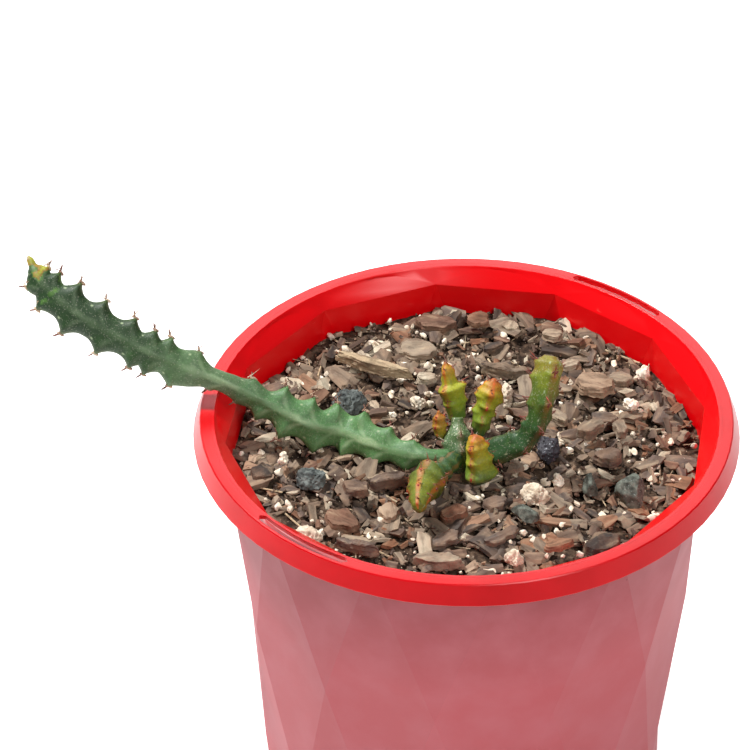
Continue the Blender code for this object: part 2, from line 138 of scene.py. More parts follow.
def add_node(tree, kind, inputs, output=0, stops=(), **settings):
    """One more node. stops are the places and colours on a colour ramp."""
    node = tree.nodes.new("ShaderNode" + kind)
    for name, value in settings.items():
        setattr(node, name, value)
    sockets = inputs.items() if isinstance(inputs, dict) else enumerate(inputs)
    for name, value in sockets:
        if isinstance(value, bpy.types.NodeSocket):
            tree.links.new(value, node.inputs[name])
        else:
            node.inputs[name].default_value = srgb(value) if isinstance(value, str) else value
    if stops:
        ramp = node.color_ramp
        while len(ramp.elements) < len(stops):
            ramp.elements.new(0.5)
        for element, (place, colour) in zip(ramp.elements, stops):
            element.position = place
            element.color = srgb(colour)
    return node.outputs[output]


def new_material(name, roughness, ior, **values):
    """A material with only its Principled BSDF and the values that are the same all over it, and a
    short way to add nodes to it."""
    material = bpy.data.materials.new(name)
    material.use_nodes = True
    shader = material.node_tree.nodes["Principled BSDF"]
    shader.inputs["Roughness"].default_value = roughness
    shader.inputs["IOR"].default_value = ior
    for socket, value in values.items():
        shader.inputs[socket.replace("_", " ")].default_value = value
    return material, shader, partial(add_node, material.node_tree)


def link(output, shader, socket):
    output.id_data.links.new(output, shader.inputs[socket])


# %% [markdown]
# ## The pot
# The pot is one injection moulding in red polypropylene: a thin wall with cut-glass facets, a narrow
# flat rim with a slot on two sides, and a short skirt that hangs outside. The CAD solid has all of
# this with knife-sharp edges. Plastic never leaves a mould that sharp, so we weld a copy of the
# solid, dissolve its triangles back into whole faces, and round every edge with a Bevel modifier.

# %% Round the pot's edges
pot_low, pot_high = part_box("pot")
RIM_Z = pot_high.z

pot = copy_of_node("pot", "pot_moulding")
bpy.ops.object.mode_set(mode="EDIT")
bpy.ops.mesh.select_all(action="SELECT")
bpy.ops.mesh.dissolve_limited(angle_limit=math.radians(0.4))
bpy.ops.object.mode_set(mode="OBJECT")
rounding = pot.modifiers.new("Mould radius", "BEVEL")
rounding.width = 0.22 * MM
rounding.segments = 3
rounding.limit_method = "ANGLE"
rounding.angle_limit = math.radians(32)
rounding.harden_normals = False
apply_modifiers(pot)
print("pot height in mm:", round((pot_high.z - pot_low.z) / MM, 1))
print("pot width in mm:", round(2 * pot_high.x / MM, 1))

# %% [markdown]
# Polypropylene is a slightly waxy gloss: roughness near a third. A hairline groove runs round the
# flat of the rim, at the radius of the slots' inner edge. The outside has a blotchy film of pale dust,
# and is painted darker as painted shade, darkest just under the skirt where its shadow falls. The
# inside is painted a brighter red as painted light, and has light scuffs left by grit and a trowel.

# %% Red polypropylene
GROOVE_RADIUS = 65.45 * MM
GROOVE_HALF_WIDTH = 0.16 * MM


def red_polypropylene():
    material, shader, add = new_material("injection_moulded_polypropylene_red", 0.33, 1.49,
                                         Specular_IOR_Level=0.32)
    place = add("TexCoord", {}, "Object")
    axes = add("SeparateXYZ", [place]).node.outputs
    flat = add("CombineXYZ", {"X": axes[0], "Y": axes[1], "Z": 0.0})
    radius = add("VectorMath", [flat], "Value", operation="LENGTH")
    outward = add("VectorMath", [flat], operation="NORMALIZE")
    facing = add("NewGeometry", {}, "Normal")
    outside = add("VectorMath", [facing, outward], "Value", operation="DOT_PRODUCT")
    # the wall below the skirt: blotchy pale dust, and painted shade that is darkest just under the skirt
    blotches = add("TexNoise", {"Vector": place, "Scale": 90, "Detail": 4.0})
    wall = add("MapRange", [outside, 0.3, 0.9])
    low_down = add("MapRange", [axes[2], RIM_Z - 4.5 * MM, RIM_Z - 7 * MM])
    under_rim = add("MapRange", [radius, 66.5 * MM, 66.0 * MM])
    dust_and_shade = add("Math", [wall, low_down], operation="MULTIPLY")
    dust_and_shade = add("Math", [dust_and_shade, under_rim], operation="MULTIPLY")
    tone = add("MapRange", [blotches, 0.35, 0.65])
    plastic = add("Mix", {0: tone, 6: "C20009", 7: "CE0410"}, 2, data_type="RGBA")
    # painted shade: the outer wall is painted a darker dusty red than the plastic, darkest near the top where
    # the skirt's shadow falls
    below_skirt_shadow = add("MapRange", [axes[2], RIM_Z - 6 * MM, RIM_Z - 45 * MM])
    dusty_shaded_wall = add("Mix", {0: below_skirt_shadow, 6: "86393E", 7: "A84A50"}, 2, data_type="RGBA")
    smudges = add("MapRange", [blotches, 0.4, 0.7, 0.0, 0.35])
    dusty_shaded_wall = add("Mix", {0: smudges, 6: dusty_shaded_wall, 7: "B0626A"}, 2, data_type="RGBA")
    colour = add("Mix", {0: dust_and_shade, 6: plastic, 7: dusty_shaded_wall}, 2, data_type="RGBA")
    # scuffs: long thin streaks on the inside of the wall
    stretched = add("Mapping", {"Vector": place, "Scale": (160, 160, 1500), "Rotation": (0.4, 0.2, 0.0)})
    streaks = add("TexNoise", {"Vector": stretched, "Scale": 1.0, "Detail": 5.0, "Roughness": 0.7})
    inside = add("MapRange", [outside, -0.3, -0.9])
    # painted light: the inside faces are painted a brighter red, for light that soaks through the thin wall
    colour = add("Mix", {0: inside, 6: colour, 7: "F2020C"}, 2, data_type="RGBA")
    scuffs = add("MapRange", [streaks, 0.66, 0.74])
    scuffs = add("Math", [scuffs, inside], operation="MULTIPLY")
    cloudy = add("TexNoise", {"Vector": place, "Scale": 60, "Detail": 2.0})
    patches = add("MapRange", [cloudy, 0.5, 0.62, 0.0, 0.45])
    scuffs = add("Math", [scuffs, patches], operation="MULTIPLY")
    colour = add("Mix", {0: scuffs, 6: colour, 7: "E8B7A8"}, 2, data_type="RGBA")
    link(colour, shader, "Base Color")
    link(add("MapRange", [dust_and_shade, 0.0, 1.0, 0.3, 0.55]), shader, "Roughness")
    # the groove round the rim, and the faint orange peel of a moulded skin
    on_top = add("MapRange", [axes[2], RIM_Z - 0.5 * MM, RIM_Z - 0.3 * MM])
    groove = add("Math", [radius, GROOVE_RADIUS, GROOVE_HALF_WIDTH], operation="COMPARE")
    groove = add("Math", [groove, on_top], operation="MULTIPLY")
    peel = add("TexNoise", {"Vector": place, "Scale": 700, "Detail": 3.0})
    peel = add("Bump", {"Height": peel, "Strength": 0.12, "Distance": 0.05 * MM})
    depth = add("Math", [1.0, groove], operation="SUBTRACT")
    cut = add("Bump", {"Height": depth, "Strength": 0.8, "Distance": 0.2 * MM, "Normal": peel})
    link(cut, shader, "Normal")
    return material


finish(pot, red_polypropylene(), ["pot"], smooth_degrees=12)

# %% [markdown]
# ## The potting mix
# Under the loose bark lies a gritty mix of peat, fine bark and sand. Only its top shows, so we make a
# fine square grid, cut it round to fit the wall, push it up and down with noise at three sizes, and
# give it a few millimetres of thickness with Solidify.

# %% The surface of the mix
mix_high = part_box("potting_mix")[1]
MIX_Z = mix_high.z - 0.9 * MM
outline = sorted(
    (math.atan2(v.co.y, v.co.x), v.co.xy.copy()) for v in bpy.data.objects["potting_mix"].data.vertices
    if v.co.xy.length > 55 * MM and v.co.z > mix_high.z - 3 * MM)


def mix_edge(angle):
    """How far out the mix reaches in this direction: the wall's facets make it a polygon."""
    after = next((index for index, (turn, _) in enumerate(outline) if turn >= angle), 0)
    start, end = outline[after - 1][1], outline[after][1]
    side = end - start
    if side.length < 0.1 * MM:
        return end.length + 0.5 * MM
    out = Vector((math.cos(angle), math.sin(angle)))
    return (start.x * side.y - start.y * side.x) / (out.x * side.y - out.y * side.x) + 0.5 * MM


def mix_height(x, y):
    """How high the mix stands, gently heaped and crumbly."""
    heap = 0.7 * noise.noise(Vector((x, y, 0.0)) * 45) + max(0.0, (y / MM - 32) * 0.04)
    crumbs = 0.45 * noise.noise(Vector((x, y, 0.3)) * 260)
    grit = 0.28 * noise.noise(Vector((x, y, 0.7)) * 900)
    return MIX_Z + (heap + crumbs + grit) * MM


def hold_inside(piece):
    """Whatever would poke through the wall is pressed back against it."""
    for vertex in piece.data.vertices:
        x, y = vertex.co.xy
        radius = math.hypot(x, y)
        if radius > 57 * MM:
            limit = mix_edge(math.atan2(y, x))
            if radius > limit:
                vertex.co.x *= limit / radius
                vertex.co.y *= limit / radius


select_only()
bpy.ops.mesh.primitive_grid_add(x_subdivisions=170, y_subdivisions=170, size=2.0)
ground = bpy.context.object
ground.name = "mix_surface"
for vertex in ground.data.vertices:
    x, y = vertex.co.xy
    reach = max(abs(x), abs(y))
    angle = math.atan2(y, x)
    radius = reach * mix_edge(angle)
    x, y = radius * math.cos(angle), radius * math.sin(angle)
    vertex.co = (x, y, mix_height(x, y))
depth = ground.modifiers.new("Depth", "SOLIDIFY")
depth.thickness = 3 * MM
depth.offset = -1
apply_modifiers(ground)

# %% [markdown]
# The mix is dull, with paler fibres and sand grains in it. Its colour runs from near black in the
# hollows, as painted shade, to a warm mid brown, with tiny specks.

# %% Peat and sand
def peat_and_sand():
    material, shader, add = new_material("peat_bark_fines_and_sand", 0.93, 1.45)
    shader.inputs["Specular IOR Level"].default_value = 0.2
    place = add("TexCoord", {}, "Object")
    coarse = add("TexNoise", {"Vector": place, "Scale": 420, "Detail": 5.0, "Roughness": 0.65})
    # painted shade: the low places of the bump noise are painted near black
    colour = add("ValToRGB", {"Fac": coarse},
                 stops=[(0.3, "18120E"), (0.45, "33271F"), (0.57, "584638"), (0.72, "82705E")])
    grains = add("TexVoronoi", {"Vector": place, "Scale": 1300}).node.outputs
    specks = add("MapRange", [grains["Distance"], 0.22, 0.1])
    random_red = add("SeparateColor", [grains["Color"]])
    pale = add("MapRange", [random_red, 0.72, 0.8])
    sand = add("Math", [specks, pale], operation="MULTIPLY")
    colour = add("Mix", {0: sand, 6: colour, 7: "D2BDA2"}, 2, data_type="RGBA")
    link(colour, shader, "Base Color")
    link(add("Bump", {"Height": coarse, "Strength": 0.9, "Distance": 0.5 * MM}), shader, "Normal")
    return material


finish(ground, peat_and_sand(), ["potting_mix"], smooth_degrees=60)

# %% [markdown]
# ## Bits that were dropped on top
# Each of the bigger bits of bark, stone and perlite is a plain polygon chip in the frame, already
# lying where it should. We weld a copy, give it an even skin with a voxel Remesh, then work the skin
# over. To carve along a chip and not across it, we first find its own long and short directions.

# %% Carve the bigger bits
def own_axes(mesh):
    """The middle of a chip, and its long, broad and thin directions, from how its points spread."""
    points = [vertex.co.copy() for vertex in mesh.vertices]
    middle = sum(points, Vector()) / len(points)
    spread = Matrix(((0, 0, 0), (0, 0, 0), (0, 0, 0)))
    for point in points:
        arm = (point - middle) / MM
        for row in range(3):
            for column in range(3):
                spread[row][column] += arm[row] * arm[column]
    axes = []
    for start in (Vector((1, 0.3, 0.1)), Vector((0.2, 1, 0.4))):
        direction = start
        for _ in range(40):
            direction = spread @ direction
            for known in axes:
                direction -= known * direction.dot(known)
            direction.normalize()
        axes.append(direction)
    axes.append(axes[0].cross(axes[1]))
    return middle, axes


def carve(node, name, skin, work, tint):
    """A detailed version of one loose CAD piece. work says how far a point of the skin is moved."""
    piece = copy_of_node(node, name)
    middle, axes = own_axes(piece.data)
    remesh = piece.modifiers.new("Even skin", "REMESH")
    remesh.mode = "VOXEL"
    remesh.voxel_size = skin
    apply_modifiers(piece)
    offset = 31.7 * tint
    own = [Vector([(v.co - middle).dot(axis) for axis in axes]) / MM for v in piece.data.vertices]
    half = [max(abs(local[axis]) for local in own) for axis in range(3)]
    grain = [(local + Vector((offset, 0, 0))) * MM for local in own]
    moved = [vertex.co + work(local, vertex.normal, axes, offset, half) * MM
             for vertex, local in zip(piece.data.vertices, own)]
    for vertex, place in zip(piece.data.vertices, moved):
        vertex.co = place
    store(piece.data, "grain", grain, "FLOAT_VECTOR")
    store(piece.data, "tint", [tint] * len(grain))
    hold_inside(piece)
    return piece


def work_bark(local, normal, axes, offset, half):
    """Bark splits along its length, and its face comes off in thin plates that leave steps."""
    along, across, up = local
    furrow = noise.noise(Vector((along * 0.2 + offset, across * 1.3, 0.0)))
    plates = noise.noise(Vector((along * 0.22, across * 0.3 + offset, 3.0)))
    step = 0.45 * round(plates * 4) / 2
    layers = noise.noise(Vector((along * 0.2, across * 0.2 + offset, up * 3.5)))
    chipped = noise.noise(Vector((along * 0.45 + offset, across * 0.45, 0.0)))
    flat = abs(normal.dot(axes[2]))
    return normal * (flat * (0.16 * furrow + step) + (1 - flat) * (0.4 * layers + 1.2 * chipped))


def work_splinter(local, normal, axes, offset, half):
    """A splinter of wood has long straight fibres and torn ends."""
    along, across, up = local
    fibre = noise.noise(Vector((along * 0.08 + offset, across * 2.2, up * 2.2)))
    return normal * (0.35 * fibre + 0.2 * noise.noise(local * 0.9))


def work_cinder(local, normal, axes, offset, half):
    """Scoria, charcoal and pumice are pitted with bubbles."""
    shift = Vector((offset, 0, 0))
    bubbles = noise.voronoi((local + shift) * 0.9)[0][0]
    lumps = noise.noise((local + shift) * 0.4)
    return normal * (0.9 * lumps - 0.9 * max(0.0, 0.42 - bubbles) + 0.45 * noise.noise(local * 1.5))


def work_stone(local, normal, axes, offset, half):
    """A crushed stone: flat breaks cut off its corners, each a little rough."""
    breaks = random.Random(offset)
    share = Vector([local[axis] / half[axis] for axis in range(3)])
    for _ in range(14):
        away = Vector([breaks.gauss(0, 1) for _ in range(3)]).normalized()
        too_far = share.dot(away) - breaks.uniform(0.62, 0.82)
        if too_far > 0:
            share -= away * too_far
    cut = sum((axes[axis] * (share[axis] * half[axis] - local[axis]) for axis in range(3)), Vector())
    return cut + normal * (0.12 * noise.noise(local * 1.1) + 0.06 * noise.noise(local * 3.0))


# %% [markdown]
# One material function does for bark and wood. It reads two things stored in the mesh: "grain", a
# point's place in the chip's own directions, so that fibres run along every chip however it lies,
# and "tint", one number for the whole chip, which picks its colour from grey through red to tan.

# %% Materials for bark, wood and stone
def fibrous(name, tints, streak_strength, roughness=0.82):
    material, shader, add = new_material(name, roughness, 1.5, Specular_IOR_Level=0.3)
    grain = add("Attribute", {}, "Vector", attribute_name="grain")
    tint = add("Attribute", {}, "Fac", attribute_name="tint")
    colour = add("ValToRGB", {"Fac": tint}, stops=tints)
    stretched = add("Mapping", {"Vector": grain, "Scale": (150, 560, 560)})
    streaks = add("TexNoise", {"Vector": stretched, "Scale": 1.0, "Detail": 5.0, "Roughness": 0.65})
    dark = add("MapRange", [streaks, 0.52, 0.38, 0.0, streak_strength])
    pale = add("MapRange", [streaks, 0.55, 0.72, 0.0, streak_strength * 0.6])
    cloudy = add("TexNoise", {"Vector": grain, "Scale": 260, "Detail": 3.0})
    blotches = add("MapRange", [cloudy, 0.42, 0.66, 0.0, 0.5])
    for share, over in ((dark, "3A261B"), (pale, "D9BE9B"), (blotches, "8A6E58")):
        colour = add("Mix", {0: share, 6: colour, 7: over}, 2, data_type="RGBA")
    link(colour, shader, "Base Color")
    fine = add("TexNoise", {"Vector": grain, "Scale": 1500, "Detail": 3.0})
    fine = add("Bump", {"Height": fine, "Strength": 0.5, "Distance": 0.15 * MM})
    rough = add("Bump", {"Height": streaks, "Strength": 0.8, "Distance": 0.35 * MM, "Normal": fine})
    link(rough, shader, "Normal")
    return material


def mineral(name, dark, light, pore_scale, pore_depth, roughness=0.8, speck="FFFFFF", specks=0.0):
    material, shader, add = new_material(name, roughness, 1.5, Specular_IOR_Level=0.35)
    grain = add("Attribute", {}, "Vector", attribute_name="grain")
    cloudy = add("TexNoise", {"Vector": grain, "Scale": 500, "Detail": 5.0, "Roughness": 0.6})
    tone = add("MapRange", [cloudy, 0.35, 0.65])
    colour = add("Mix", {0: tone, 6: dark, 7: light}, 2, data_type="RGBA")
    pores = add("TexVoronoi", {"Vector": grain, "Scale": pore_scale}, "Distance")
    shade = add("MapRange", [pores, 0.25, 0.08, 0.0, 0.5])
    colour = add("Mix", {0: shade, 6: colour, 7: dark}, 2, data_type="RGBA")
    # painted highlights: tiny pale glints painted into the colour
    fine = add("TexNoise", {"Vector": grain, "Scale": 1900, "Detail": 1.0})
    glints = add("MapRange", [fine, 0.66, 0.72, 0.0, specks])
    colour = add("Mix", {0: glints, 6: colour, 7: speck}, 2, data_type="RGBA")
    link(colour, shader, "Base Color")
    holes = add("Bump", {"Height": pores, "Strength": 0.7, "Distance": pore_depth})
    rough = add("Bump", {"Height": cloudy, "Strength": 0.6, "Distance": 0.25 * MM, "Normal": holes})
    link(rough, shader, "Normal")
    return material


pine_bark = fibrous("pine_bark_chips", [
    (0.0, "38312D"), (0.16, "6C5E55"), (0.32, "5E4A3F"), (0.48, "80705F"), (0.62, "978774"),
    (0.74, "6E5142"), (0.86, "8E6247"), (0.94, "B3A18A"), (1.0, "D2C6AE")], 0.55)
dry_wood = fibrous("torn_dry_wood", [(0.0, "AA9880"), (0.5, "C8B08C"), (1.0, "E0CDAC")], 0.6)
materials = {
    "bark": ("pine_bark", pine_bark, 0.33 * MM, work_bark),
    "splinter": ("dry_wood", dry_wood, 0.3 * MM, work_splinter),
    "scoria": ("scoria", mineral("grey_scoria", "262B2B", "747A76", 900, 0.6 * MM), 0.33 * MM, work_cinder),
    "charcoal": ("charcoal", mineral("horticultural_charcoal", "17161A", "45434A", 1100, 0.3 * MM, 0.6,
                                     "B8BCC4", 0.6), 0.33 * MM, work_cinder),
    "dark_stone": ("dark_stone", mineral("crushed_basalt", "33362F", "70756A", 1500, 0.08 * MM, 0.75,
                                         "C9CFC8", 0.35), 0.33 * MM, work_stone),
    "pumice": ("pumice", mineral("pumice_grains", "B8A48C", "EADCC6", 1100, 0.4 * MM, 0.9), 0.3 * MM,
               work_cinder),
    "perlite": ("perlite", mineral("expanded_perlite", "E2CDB0", "FFF6E6", 1500, 0.2 * MM, 0.85), 0.25 * MM,
                work_cinder),
}

loose_nodes = [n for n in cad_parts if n.rsplit("_", 1)[0] in materials]
chance = random.Random(5)
for node in sorted(loose_nodes):
    kind = node.rsplit("_", 1)[0]
    slot, material, skin, work = materials[kind]
    piece = carve(node, f"{node}_carved", skin, work, round(chance.random(), 3))
    finish(piece, material, [node], smooth_degrees=32, recalculate=False)

# %% [markdown]
# ## Litter between the bigger bits
# Real top dressing is mostly small stuff: crumbs of bark, a few white grains, shreds of fibre. We
# model a handful of each, then copy each one hundreds of times, turned and tipped at random, and
# join the copies. Each copy's mesh is moved to its place, so nothing is left to rotate afterwards.

# %% Small shapes to copy
def crumb(seed, shape, length, width, height, chops, rough):
    """One crumb of the given size in mm: a primitive chopped by slanting cuts, then roughened."""
    select_only()
    if shape == "ball":
        bpy.ops.mesh.primitive_ico_sphere_add(subdivisions=2, radius=0.5)
    elif shape == "rod":
        bpy.ops.mesh.primitive_cylinder_add(vertices=6, radius=0.5, depth=1)
    else:
        bpy.ops.mesh.primitive_cube_add(size=1)
    piece = bpy.context.object
    piece.name = f"crumb_{seed}"
    cuts = random.Random(seed)
    # without a seed, noise_vector starts from the clock and every run differs
    noise.seed_set(seed)
    bpy.ops.object.mode_set(mode="EDIT")
    for _ in range(chops):
        bpy.ops.mesh.select_all(action="SELECT")
        turn = cuts.uniform(0, math.tau)
        away = Vector((math.cos(turn), math.sin(turn), cuts.uniform(-0.5, 0.5)))
        bpy.ops.mesh.bisect(plane_co=away * cuts.uniform(0.3, 0.45), plane_no=away, use_fill=True,
                            clear_outer=True)
    bpy.ops.mesh.select_all(action="SELECT")
    if shape == "chip":
        bpy.ops.mesh.subdivide(number_cuts=1)
    bpy.ops.object.mode_set(mode="OBJECT")
    for vertex in piece.data.vertices:
        vertex.co = Vector((vertex.co.x * length, vertex.co.y * width, vertex.co.z * height)) * MM
        vertex.co += noise.noise_vector(vertex.co / MM * 0.8 + Vector((seed * 5.3, 0, 0))) * rough * MM
    store(piece.data, "grain", [v.co.copy() for v in piece.data.vertices], "FLOAT_VECTOR")
    return piece


def strew(name, shapes, places, material, smooth_degrees, inside=True):
    """Copies of the shapes, one for each (matrix, tint), joined in one piece."""
    pick = random.Random(len(places))
    copies = []
    for matrix, tint in places:
        piece = pick.choice(shapes).copy()
        piece.data = piece.data.copy()
        piece.data.transform(matrix)
        store(piece.data, "tint", [tint] * len(piece.data.vertices))
        bpy.context.scene.collection.objects.link(piece)
        copies.append(piece)
    with bpy.context.temp_override(active_object=copies[0], object=copies[0], selected_objects=copies,
                                   selected_editable_objects=copies):
        bpy.ops.object.join()
    copies[0].name = name
    if inside:
        hold_inside(copies[0])
    for shape in shapes:
        bpy.data.objects.remove(shape)
    return finish(copies[0], material, smooth_degrees=smooth_degrees, recalculate=False)


def anywhere(count, low, high, tilt, sunk, seed, tints=(0.0, 1.0)):
    """Random places on the mix: a matrix with a scale between low and high, and a tint."""
    rng = random.Random(seed)
    places = []
    while len(places) < count:
        angle = rng.uniform(-math.pi, math.pi)
        radius = (mix_edge(angle) - 1.0 * MM) * math.sqrt(rng.random())
        x, y = radius * math.cos(angle), radius * math.sin(angle)
        scale = low + (high - low) * rng.random() ** 2
        turn = Matrix.Rotation(rng.uniform(0, math.tau), 4, "Z")
        tip = Matrix.Rotation(rng.gauss(0, tilt), 4, "X") @ Matrix.Rotation(rng.gauss(0, tilt), 4, "Y")
        z = mix_height(x, y) + (rng.uniform(*sunk)) * MM
        place = Matrix.Translation((x, y, z)) @ turn @ tip @ Matrix.Scale(scale, 4)
        places.append((place, rng.uniform(*tints)))
    return places


# %% Strew bark crumbs, fines, white grains and fibres
flakes = [crumb(1, "chip", 6.5, 4.5, 0.9, 5, 0.5), crumb(2, "chip", 8.0, 3.2, 1.0, 4, 0.5),
          crumb(3, "chip", 5.5, 5.0, 0.8, 5, 0.5), crumb(4, "chip", 7.0, 2.4, 1.2, 3, 0.4),
          crumb(5, "chip", 6.0, 4.0, 1.4, 6, 0.5)]
strew("bark_flakes", flakes, anywhere(520, 0.65, 1.5, 0.2, (0.4, 1.9), 20), pine_bark, 25)

chips = [crumb(6, "chip", 3.4, 2.4, 0.8, 4, 0.4), crumb(7, "chip", 4.0, 1.6, 0.8, 3, 0.4),
         crumb(8, "chip", 2.6, 2.2, 1.0, 5, 0.4), crumb(9, "chip", 4.4, 1.2, 0.9, 3, 0.3)]
strew("bark_crumbs", chips, anywhere(700, 0.6, 1.4, 0.4, (0.2, 1.9), 21), pine_bark, 25)

fines = [crumb(11, "box", 1.3, 1.0, 0.7, 2, 0.25), crumb(12, "box", 1.7, 0.7, 0.6, 2, 0.25),
         crumb(13, "box", 1.0, 0.9, 0.8, 3, 0.25)]
strew("bark_fines", fines, anywhere(2000, 0.5, 1.2, 0.6, (0.1, 1.6), 22), pine_bark, 25)

grains = [crumb(21, "ball", 2.0, 1.7, 1.5, 4, 0.6), crumb(22, "ball", 2.4, 1.5, 1.3, 4, 0.6),
          crumb(23, "ball", 1.6, 1.5, 1.3, 3, 0.6)]
WHITE_GRAINS = (
    (20, -14, 1.5), (41, 14, 1.2), (46, 30, 1.3), (40, 36, 1.0), (32, 41, 0.9), (11, 48, 1.2), (2, 39, 0.9),
    (12, 40, 0.8), (-9, 19, 1.3), (56, -5, 1.0), (53, 3, 0.9), (-24, 45, 1.0), (-35, 48, 1.1), (-31, 39, 0.9),
    (-46, 34, 1.0), (-36, 28, 0.9), (-37, 23, 1.0), (-48, -9, 1.2), (-32, -13, 0.9), (-29, -14, 0.9),
    (-48, -23, 1.2), (-45, -24, 0.9), (-35, -22, 0.8), (-22, -29, 1.1), (34, -27, 1.2), (26, -25, 1.0),
    (22, -34, 0.9), (5, -49, 1.1), (11, -44, 1.0), (46, -29, 1.5), (47, -12, 1.4), (-19, 14, 1.1))
placed = random.Random(3)
grain_places = []
for x, y, size in WHITE_GRAINS:
    turn = Matrix.Rotation(placed.uniform(0, math.tau), 4, "Z")
    turn = turn @ Matrix.Rotation(placed.uniform(-1, 1), 4, "X")
    spot = Matrix.Translation((x * MM, y * MM, mix_height(x * MM, y * MM) + 1.2 * MM))
    grain_places.append((spot @ turn @ Matrix.Scale(1.15 * size, 4), placed.random()))
grain_places += anywhere(250, 0.5, 1.45, 1.0, (0.9, 2.1), 23)
strew("perlite_grains", grains, grain_places, materials["perlite"][1], 50)

fibres = [crumb(31, "rod", 0.35, 0.35, 7, 0, 0.3), crumb(32, "rod", 0.3, 0.3, 4.5, 0, 0.25)]
on_side = Matrix.Rotation(math.pi / 2, 4, "Y")
fibre_places = [(matrix @ on_side, tint) for matrix, tint in anywhere(110, 0.5, 1.5, 0.12, (0.6, 1.6), 24)]
strew("wood_fibres", fibres, fibre_places, dry_wood, 50)

# %% [markdown]
# ## The plant
# Every stem of this plant is built alike: a soft core with three or four ridges, and on each ridge a
# row of teeth that carry the spines. So one function grows them all. A circle is drawn up into a
# straight tube by a Screw modifier that doesn't turn. Then each row of points is pushed out to the
# ridges, further where there is a tooth, and laid along the stem's path. What a stem's skin needs to
# know later (how far along, how near a ridge, how near a tooth) is stored as we go.

# %% Grow a stem
def smooth_line(points, spacing):
    """Even steps, spacing apart, along a smooth curve through the points."""
    ends = [2 * points[0] - points[1]] + points + [2 * points[-1] - points[-2]]
    fine = []
    for a, b, c, d in zip(ends, ends[1:], ends[2:], ends[3:]):
        for step in range(24):
            t = step / 24
            fine.append(0.5 * (2 * b + (c - a) * t + (2 * a - 5 * b + 4 * c - d) * t * t
                               + (3 * b - a - 3 * c + d) * t ** 3))
    fine.append(points[-1].copy())
    travelled = [0.0]
    for start, end in zip(fine, fine[1:]):
        travelled.append(travelled[-1] + (end - start).length)
    count = max(8, round(travelled[-1] / spacing))
    line = []
    index = 0
    for step in range(count + 1):
        target = travelled[-1] * step / count
        while index < len(fine) - 2 and travelled[index + 1] < target:
            index += 1
        share = (target - travelled[index]) / (travelled[index + 1] - travelled[index])
        line.append(fine[index].lerp(fine[index + 1], min(1.0, share)))
    return line, travelled[-1]


def frames_along(line, toward):
    """At each step, the way forward, the way to the first ridge, and the way across."""
    frames = []
    ridge = toward.copy()
    for index in range(len(line)):
        forward = (line[min(index + 1, len(line) - 1)] - line[max(index - 1, 0)]).normalized()
        ridge = (ridge - forward * ridge.dot(forward)).normalized()
        frames.append((forward, ridge.copy(), forward.cross(ridge)))
    return frames


def along_profile(profile, share):
    """The girth at a share of the length, eased between the profile's points."""
    for (start, low), (end, high) in zip(profile, profile[1:]):
        if share <= end:
            t = (share - start) / (end - start)
            return low + (high - low) * t * t * (3 - 2 * t)
    return profile[-1][1]


